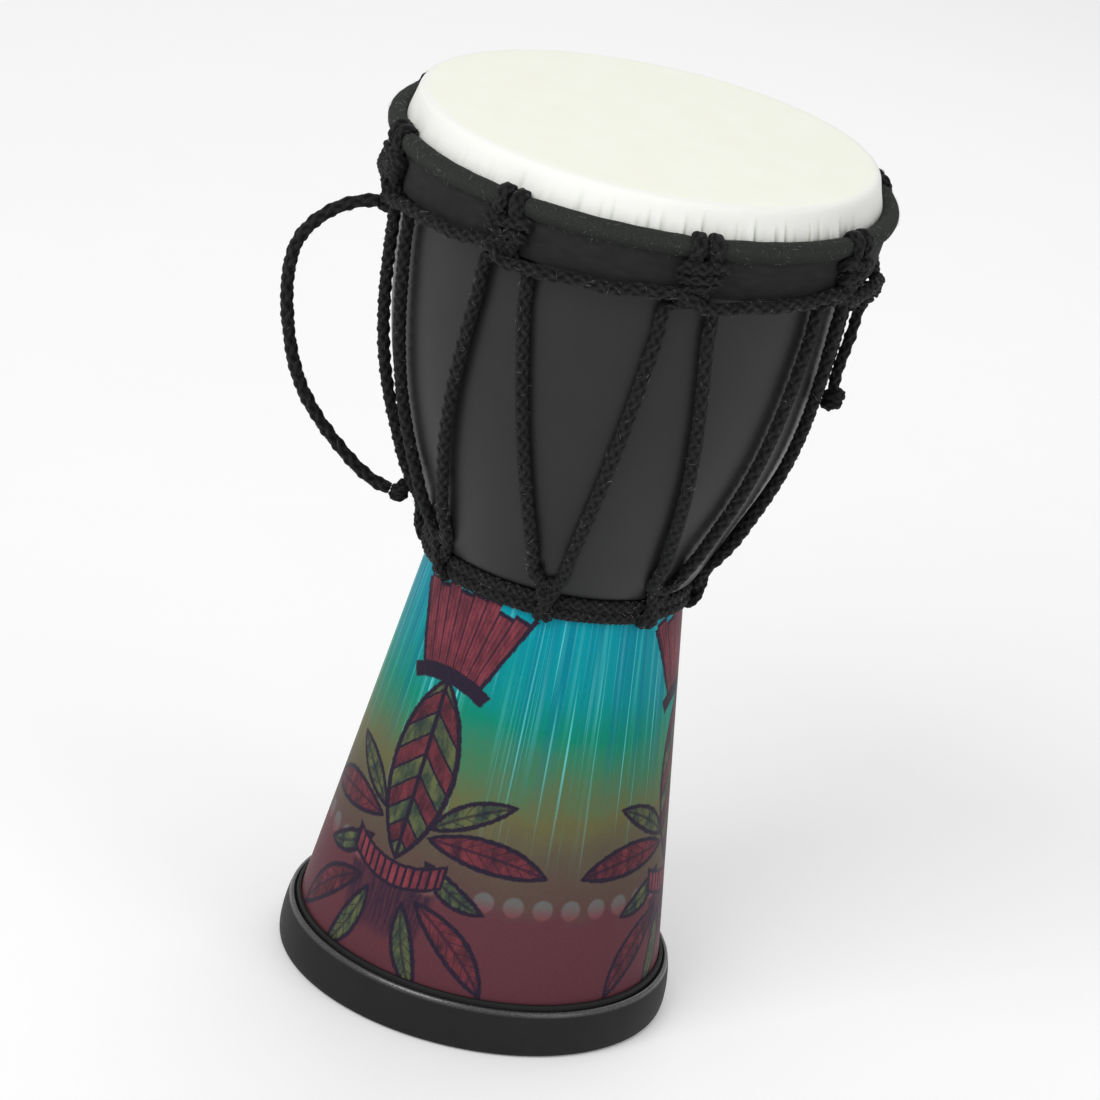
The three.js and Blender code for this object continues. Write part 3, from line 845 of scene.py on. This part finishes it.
def foot_ring():
    """A thin collar against the film, a narrow groove, a round bead and a plain wall."""
    wall = smooth([
        (74.2, 0), (75.1, 0.5), (75.55, 1.8), (75.75, 4.2), (75.7, 7.4), (75.4, 10.6), (75, 13.4),
        (74.6, 15.4), (74.2, 16.8), (73.6, 17.7), (72.9, 17.9), (72.35, 17.4), (72.1, 16.5),
    ], 0.35)
    collar_top, lip, channel = 19.6, 13, 2.7
    # The collar and the channel for the stem's foot: how far from the film's outside, and the height
    by_stem = [
        (0.45, collar_top), (0.4, 15.4), (-0.6, 14.6), (-0.6, channel),
        (-4.7, channel), (-4.7, lip), (-6.4, lip),
    ]
    outline = np.vstack([
        wall,
        [(71.75, 16.4), (71.6, collar_top - 0.4), (71.35, collar_top)],
        [(stem_radius(z) + out, z) for out, z in by_stem],
        [(stem_radius(lip) - 6.7, lip - 0.6), (65.1, 1.4), (65.4, 0.4), (66, 0)],
    ])
    return turned("foot_ring_rubber", outline, RUBBER, segments=320)


def skirt_pleats():
    """Makes the pleats of the head's skirt. Each is a soft ridge that ends at a sharp crease. The
    result gives, for points of the skirt, how far they stand out and how deep in a crease they are."""
    rng = np.random.default_rng(7)
    pleats = 96
    where = (np.arange(pleats) + rng.uniform(-0.35, 0.35, pleats)) * TAU / pleats
    strongest = math.radians(-35)  # the pleats are fainter away from here
    depth = rng.uniform(0.35, 1, pleats) * np.maximum(0.15, 0.62 + 0.95 * np.cos(where - strongest))
    width = rng.uniform(2.2, 4.2, pleats) * rng.choice([-1, 1], pleats) / HEAD_RADIUS
    top = rng.uniform(HEIGHT - 7.5, HEIGHT - 2.5, pleats)

    def fold(z, angle):
        out, crease = np.zeros(np.broadcast(z, angle).shape), np.zeros(np.broadcast(z, angle).shape)
        for i in range(pleats):
            near = ((angle - where[i] + math.pi) % TAU - math.pi) / width[i]
            ridge = np.clip(1 - near, 0, 1) ** 1.5 * np.clip((near + 0.1) / 0.1, 0, 1)
            drop = np.clip((top[i] - z) / 9, 0, 1) ** 1.1
            out = np.maximum(out, depth[i] * drop * ridge)
            crease = np.maximum(crease, depth[i] * drop * np.exp(-((near + 0.2) / 0.3) ** 2))
        return out, crease

    return fold


def drum_head():
    """The head, drawn down into pleats that deepen towards the crown hoop."""
    fold = skirt_pleats()
    under = HEIGHT - 1.1
    ridge_height, crease_depth, drawn_in = 0.8, 0.35, 0.4

    def gather(radius, z, angle):
        out, crease = fold(z, angle)
        stand = ridge_height * out - crease_depth * crease - drawn_in * np.clip((HEIGHT - z) / 12, 0, 1)
        return radius + np.where(radius > HEAD_RADIUS - 3, stand, 0), z

    skirt = [
        (81.2, 0), (82.9, 0.2), (84.1, 0.8), (84.8, 1.8), (85.3, 3.4), (86, 6),
        (86.9, 9), (87.6, 11.6), (87.8, 14), (87.3, 18), (86.7, HEIGHT - 318),
    ]
    flange = [(86.7, 317.5), (88.9, 317.5), (88.9, 316.6), (85.5, 316.6)]
    outline = np.vstack([
        [(radius, HEIGHT) for radius in (0.02, 12, 30, 50, 68, 77)],
        smooth([(radius, HEIGHT - drop) for radius, drop in skirt], 0.8),
        flange,
        [(85.5, 330), (84.4, 336), (83, under - 0.2)],
        [(radius, under) for radius in (82, 60, 30, 0.02)],
    ])
    head = turned("drum_head_skin", outline, SKIN, segments=1440, shape=gather, soft_angle=60)
    # How deep each skirt point lies in a crease; the head's material greys it there as painted shade
    points = np.array([vertex.co for vertex in head.data.vertices]) / MM
    on_skirt = np.hypot(points[:, 0], points[:, 1]) > 82
    creases = fold(points[:, 2], np.arctan2(points[:, 1], points[:, 0]))[1] * on_skirt
    told = head.data.attributes.new("crease", "FLOAT", "POINT")
    told.data.foreach_set("value", np.clip(creases, 0, 1).astype(np.float32))
    return head


# ---- the crown: roll and band


def near_hitch(angle, spread):
    """1 at a crown hitch, falling smoothly to 0 a spread of radians away."""
    gaps = [np.abs((angle - hitch + math.pi) % TAU - math.pi) for hitch in CROWN_AZ]
    share = np.clip(1 - np.minimum.reduce(gaps) / spread, 0, 1)
    return share * share * (3 - 2 * share)


def crown_roll():
    """The padded hoop cover: a stuffed tube, pinched by its hitches and seamed underneath."""
    rng = np.random.default_rng(11)
    waves = [(rng.integers(5, 60), rng.uniform(0, TAU), rng.uniform(0, TAU)) for _ in range(14)]
    around = np.linspace(0, TAU, 30, endpoint=False)
    outline = [(ROLL_RADIUS + ROLL_PAD * math.cos(a), ROLL_Z + ROLL_PAD * math.sin(a)) for a in around]

    def stuff(radius, z, angle):
        out, up = radius - ROLL_RADIUS, z - ROLL_Z
        turn = np.arctan2(up, out)
        uneven, pinched, sewn, full = 0.08, 0.2, 0.14, 0.2
        swell = sum(np.sin(n * angle + a + np.sin(turn + b)) for n, a, b in waves) / len(waves)
        seam = np.exp(-(((turn + 2.1 + math.pi) % TAU - math.pi) / 0.14) ** 2)
        foot = np.exp(-(((turn + 1.25) / 0.55) ** 2))
        size = 1 + uneven * swell - pinched * near_hitch(angle, 0.13) * (1 - foot)
        size = size - sewn * seam + full * foot
        return ROLL_RADIUS + out * size, ROLL_Z + up * size

    return turned("crown_roll", outline, FELT, segments=900, shape=stuff, soft_angle=None)


def collar():
    """The cloth band under the roll, drawn in a little at each hitch."""
    rng = np.random.default_rng(13)
    waves = [(rng.integers(8, 44), rng.uniform(0, TAU)) for _ in range(9)]
    rows = np.linspace(0, 1, 10)
    foot, thick = BAND_RADIUS - 1.6, 0.9
    ripple_depth, pinched = 0.45, 0.5
    outer = [(BAND_RADIUS + (foot - BAND_RADIUS) * t, BAND_TOP + (BAND_FOOT - BAND_TOP) * t) for t in rows]
    inner = [(r - thick, z) for r, z in outer[::-1]]

    def draw(radius, z, angle):
        drop = np.clip((BAND_TOP - z) / (BAND_TOP - BAND_FOOT), 0, 1)
        ripple = sum(np.sin(n * angle + a + 2 * drop) for n, a in waves) / len(waves)
        return radius + drop * (ripple_depth * ripple - pinched * near_hitch(angle, 0.09)), z

    return turned("collar_cloth", outer + inner, CLOTH, segments=720, shape=draw, soft_angle=50)


# ---- ropes


def lacing_span(from_angle, to_angle, from_z, to_z):
    """A taut rope on the bowl turns most where the bowl is narrow, and is drawn in against the
    bowl where it goes under its waist hitch."""
    steps, drawn_in = 9, 0.9
    heights = np.linspace(from_z, to_z, steps + 1)
    middles = (heights[1:] + heights[:-1]) / 2
    radii = np.interp(middles, bowl_line[:, 1], bowl_line[:, 0])
    turns = np.concatenate([[0], np.cumsum(1 / radii**2)])
    angles = from_angle + (to_angle - from_angle) * turns / turns[-1]
    standing_off = np.where(heights < WAIST_TURN_Z + 1, drawn_in, LACING_OFF)
    return [on_bowl(z, a, off) for z, a, off in zip(heights, angles, standing_off)]


def tuning_rope():
    """Laced down and up between the hitches, starting and ending at the splice."""
    crown_z, waist_z = 304.6, WAIST_TURN_Z
    crown_half, waist_half = math.radians(5), math.radians(4.2)
    splice, splice_z = 6, crown_z + 1.2
    nudge = 1e-6  # so that rounding never puts the first hitch a whole turn on
    first = CROWN_AZ[splice]
    route = [on_bowl(splice_z, first + END_GAP, LACING_OFF)]
    for i in range(HITCHES):
        here, beyond = (splice + i) % HITCHES, (splice + i + 1) % HITCHES
        stops = CROWN_AZ[here] + 2 * nudge, WAIST_AZ[here], CROWN_AZ[beyond]
        crown, waist, following = (first + (a - first - nudge) % TAU for a in stops)
        if i == HITCHES - 1:
            following = first + TAU
        route += lacing_span(crown + crown_half, waist - waist_half, crown_z, waist_z)
        route += lacing_span(waist + waist_half, following - crown_half, waist_z, crown_z)
    route.append(on_bowl(splice_z, first - END_GAP, LACING_OFF))
    line = smooth(route, 0.5)
    return rope_piece("tuning_rope_plaited", plaited(line, ROPE_RADIUS, sides=20, wear=0.015, seed=3))


def cradle_lift(angle):
    """The cradle rope climbs to each hitch, passes in front of it and drops on its far side. It
    climbs late in the scallop that its own knot hangs from."""
    rise, late, usual = 3.9, 5, 1.4
    start, stop = 0.06, 0.92  # the share of a scallop that the climb takes
    hitches = np.sort(np.mod(CROWN_AZ, TAU))
    place = np.searchsorted(hitches, np.mod(angle, TAU))
    last, following = hitches[place - 1], hitches[place % len(hitches)]
    share = np.mod(angle - last, TAU) / np.mod(following - last, TAU)
    by_knot = np.mod(KNOT_AZ - last, TAU) < np.mod(following - last, TAU)
    climb = np.clip((share - start) / (stop - start), 0, 1) ** np.where(by_knot, late, usual)
    past_stop = np.where(share > 0.5, share, share + 1) - stop
    drop = np.clip(past_stop / (1 - stop + start), 0, 1)
    crossing = (share > stop) | (share < start)
    return rise * np.where(crossing, 1 - drop * drop * (3 - 2 * drop), climb)


def cradle_rope():
    """Hangs in shallow scallops between the hitches, in front of their tails. Just past its own
    knot it is drawn in under the band."""
    angles = KNOT_AZ + END_GAP + np.linspace(0, TAU - 2 * END_GAP, 241)
    past_knot = np.degrees(angles - KNOT_AZ)
    drawn_in = np.clip((past_knot + 1) / 5, 0, 1) * np.clip((23 - past_knot) / 7, 0, 1)
    lowered, inward, over_hitch = 1.2, 2.6, 1.6
    lifts = cradle_lift(angles) - lowered * drawn_in
    outward = over_hitch * near_hitch(angles, math.radians(6)) - inward * drawn_in
    sway = 0.3 * np.sin(17 * angles) + 0.25 * np.sin(29 * angles + 1)
    radii, heights = CRADLE_RADIUS + outward, CRADLE_Z + lifts + sway
    line = smooth([polar(radius, z, a) for radius, z, a in zip(radii, heights, angles)], 0.5)
    return rope_piece("cradle_rope_plaited", plaited(line, THIN_ROPE_RADIUS + 0.2, wear=0.03, seed=4))


def waist_course(name, z, phase):
    """One of the two rope courses pulled tight into the groove at the waist."""
    groove_radius, waver = 50.1, 0.12
    angles = np.linspace(0, TAU, 120, endpoint=False)
    route = [polar(groove_radius, z + waver * math.sin(9 * a + phase), a) for a in angles]
    line = smooth(route, 0.45, closed=True)
    return rope_piece(name, plaited(line, 2.45, closed=True, flat=(0.72, 1.06), sides=28, turn=17))


def local_line(angle, route, step=0.5):
    """A smooth line from (across, radius, height) points beside an angle round the drum."""
    return smooth([polar(r, z, angle + across / r) for across, r, z in route], step)


def crown_hitch(i):
    """A lark's head sunk into the roll: two parts side by side over the top, three bars across
    them, and two tails drawn together behind the cradle rope. Each is tied a little differently."""
    rng = np.random.default_rng(100 + i)
    lean, tight = rng.uniform(-0.7, 0.7), rng.uniform(0.95, 1.05)
    # Over the roll: degrees round its section, and how far from its middle
    over = [(140, 2), (116, 3), (92, 3.7), (66, 3.9), (40, 3.8), (14, 3.6), (-12, 3.8)]
    parts = []
    for way in (-1, 1):
        route = []
        for k, (degrees, out) in enumerate(over):
            a = math.radians(degrees)
            across = way * (2.9 + 0.5 * k / 6) * tight
            route.append((across, ROLL_RADIUS + out * math.cos(a), ROLL_Z + out * math.sin(a)))
        route += [
            (way * 3.4 + lean * 0.4, 93.4, 323.2), (way * 3.0 + lean * 0.8, 93.2, 319.4),
            (way * 2.4 + lean, 92.8, 315.4), (way * 2.2 + lean, 92.2, 311.6),
            (way * 2.5 + lean, 90.4, 308.4), (way * 3.4 + lean, 88.6, 305.8),
        ]
        line = local_line(CROWN_AZ[i], route)
        seed = 20 * i + way + 1
        parts.append(plaited(line, 2.45, flat=(0.85, 1.22), turn=HITCH_TURN, wear=0.05, seed=seed))
    # Each bar's height, half its width, how far out it lies and its radius
    bars = [(322.0, 7.7, 94.5, 2.8), (318.0, 6.6, 94.5, 2.5), (314.8, 4.6, 93.9, 2.2)]
    for height, half, out, size in bars:
        rise, sag = rng.uniform(-1.3, 1.3), rng.uniform(0, 1.2)
        bar = [
            (-half * 0.9, 91.2, height - 1.8), (-half, 93.4, height - rise - 0.6),
            (-half * 0.55, out - 0.3, height - rise * 0.5), (0, out, height - sag),
            (half * 0.55, out - 0.3, height + rise * 0.5), (half, 93.4, height + rise - 0.6),
            (half * 0.9, 91.2, height - 1.8),
        ]
        line = local_line(CROWN_AZ[i], [(a + lean * 0.6, r, z) for a, r, z in bar])
        looks = dict(turn=HITCH_TURN, wear=0.05, taper=0.3, seed=20 * i + 5)
        parts.append(plaited(line, size, flat=(0.85, 1.05), **looks))
    return rope_piece(f"crown_hitch_rope_{i + 1}", *parts)


def waist_hitch(i):
    """The tuning rope's two legs, crossed over both waist courses and tucked under them."""
    rng = np.random.default_rng(200 + i)
    lean, way = rng.uniform(-0.4, 0.4), 1 if i % 2 else -1
    over = [
        (4.5, 58.6, 187.6), (4.0, 56.2, 183.6), (2.9, 54.9, 179.4), (1.3, 54.5, 175.2),
        (-0.3, 54.1, 171.2), (-1.3, 53.0, 168.2), (-1.4, 51.2, 166.6), (-0.9, 49.4, 166.8),
    ]
    under = [
        (-4.5, 58.6, 187.6), (-3.9, 56.0, 183.6), (-2.6, 53.8, 179.4), (-1.0, 52.9, 175.4),
        (0.8, 52.8, 171.4), (1.9, 52.5, 168.6), (1.9, 51.2, 166.9), (1.2, 49.4, 166.9),
    ]
    parts = []
    for leg in (over, under):
        line = local_line(WAIST_AZ[i], [(way * a + lean, r, z) for a, r, z in leg], 0.45)
        looks = dict(turn=HITCH_TURN, wear=0.03, taper=0.2, seed=300 + i)
        parts.append(plaited(line, 2.2, flat=(0.9, 1.05), **looks))
    return rope_piece(f"waist_hitch_rope_{i + 1}", *parts)


def wrap_knot(name, centre, axis, winding, pitch, turns, radius, tuck=0.45):
    """A knot of rope wound round an axis, with its ends tucked into its middle."""
    axis = np.array(axis, float) / np.linalg.norm(axis)
    side = np.cross(axis, (0, 0, 1) if abs(axis[2]) < 0.9 else (1, 0, 0))
    side /= np.linalg.norm(side)
    other = np.cross(axis, side)
    t = np.linspace(-0.5, 0.5, round(14 * turns))
    spin = TAU * turns * t
    half = pitch * turns
    route = [
        np.array(centre) + winding * (math.cos(a) * side + math.sin(a) * other) + axis * half * s
        for a, s in zip(spin, t)
    ]
    start, end = (np.array(centre) + axis * half * s * tuck for s in (-1, 1))
    line = smooth([start] + route + [end], 0.45)
    return rope_piece(name, plaited(line, radius, turn=14, wear=0.04, seed=int(10 * winding)))


portrait_camera()
studio()

# The cords first: the carry handle and the cradle rope's tail
handle_line = smooth([polar(r, z, math.radians(a)) for r, z, a in HANDLE_ROUTE], 0.5)
handle_rope = plaited(handle_line, HANDLE_ROPE_RADIUS, turn=29, wear=0.03, seed=1)
handle = rope_piece("carry_handle_rope", handle_rope)
settle(handle, "rope", "handle_rope", body="handle")
handle_lint = settle(lint("carry_handle_fibres", [handle], 110, ROPE_LINT, 31), "rope", body="handle")

tail_line = smooth([polar(r, z, KNOT_AZ) for r, z in TAIL_ROUTE], 0.45)
tail = rope_piece("tail_rope_plaited", plaited(tail_line, THIN_ROPE_RADIUS, wear=0.03, seed=2))
settle(tail, "rope", "tail_rope", body="tail")
low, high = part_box("tail_stopper_knot")
stopper = wrap_knot("tail_stopper", (low + high) / 2 / MM, (0.15, 0.1, 1), 2.3, 3.0, 1.9, 2.2)
settle(stopper, "rope", "tail_stopper_knot", body="tail")

settle(bowl(), "shell", "bowl_shell")
settle(stem(), "shell", "stem_shell")
settle(sleeve(), "print", "graphic_sleeve")
settle(foot_ring(), "foot_rubber", "foot_ring")
settle(drum_head(), "head_skin", "drum_head")
roll = settle(crown_roll(), "felt", "crown_hoop_cover")
band = settle(collar(), "band_cloth", "collar_band")

ropes = [
    settle(tuning_rope(), "rope", "tuning_rope"),
    settle(cradle_rope(), "rope", "cradle_rope"),
    settle(waist_course("waist_rope_lower_plaited", 169.3, 0), "rope", "waist_rope_lower"),
    settle(waist_course("waist_rope_upper_plaited", 173.7, 2), "rope", "waist_rope_upper"),
]
for i in range(HITCHES):
    ropes.append(settle(crown_hitch(i), "rope", f"crown_hitch_{i + 1}"))
    ropes.append(settle(waist_hitch(i), "rope", f"waist_hitch_{i + 1}"))

KNOTS = [
    # name, node, axis, winding radius, pitch, turns, rope radius, how far out its ends come
    ("handle_top_wrap", "handle_top_knot", (0.1, -0.2, 1), 2.3, 3.0, 2.0, 2.1, 0.45),
    ("handle_bottom_wrap", "handle_bottom_knot", (0.1, -0.2, 1), 1.9, 2.8, 2.0, 1.9, 0.45),
    ("cradle_knot_rope", "cradle_knot", (0.55, 0.4, 0.75), 2.4, 3.2, 2.2, 2.0, 1.0),
]
for name, node, axis, winding, pitch, turns, radius, tuck in KNOTS:
    low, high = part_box(node)
    middle = (low + high) / 2 / MM
    ropes.append(settle(wrap_knot(name, middle, axis, winding, pitch, turns, radius, tuck), "rope", node))

settle(lint("rope_fibres", ropes, 2600, ROPE_LINT, 32, thickness=0.08), "rope")
settle(
    lint("felt_fibres", [roll, band], 1700, FELT_LINT, 33, length=(1, 5), lift=0.7, thickness=0.038),
    "felt",
)

for node in ("flesh_hoop", "crown_hoop", "waist_hoop"):
    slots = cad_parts[node].data.materials
    slots.clear()
    slots.append(STEEL)
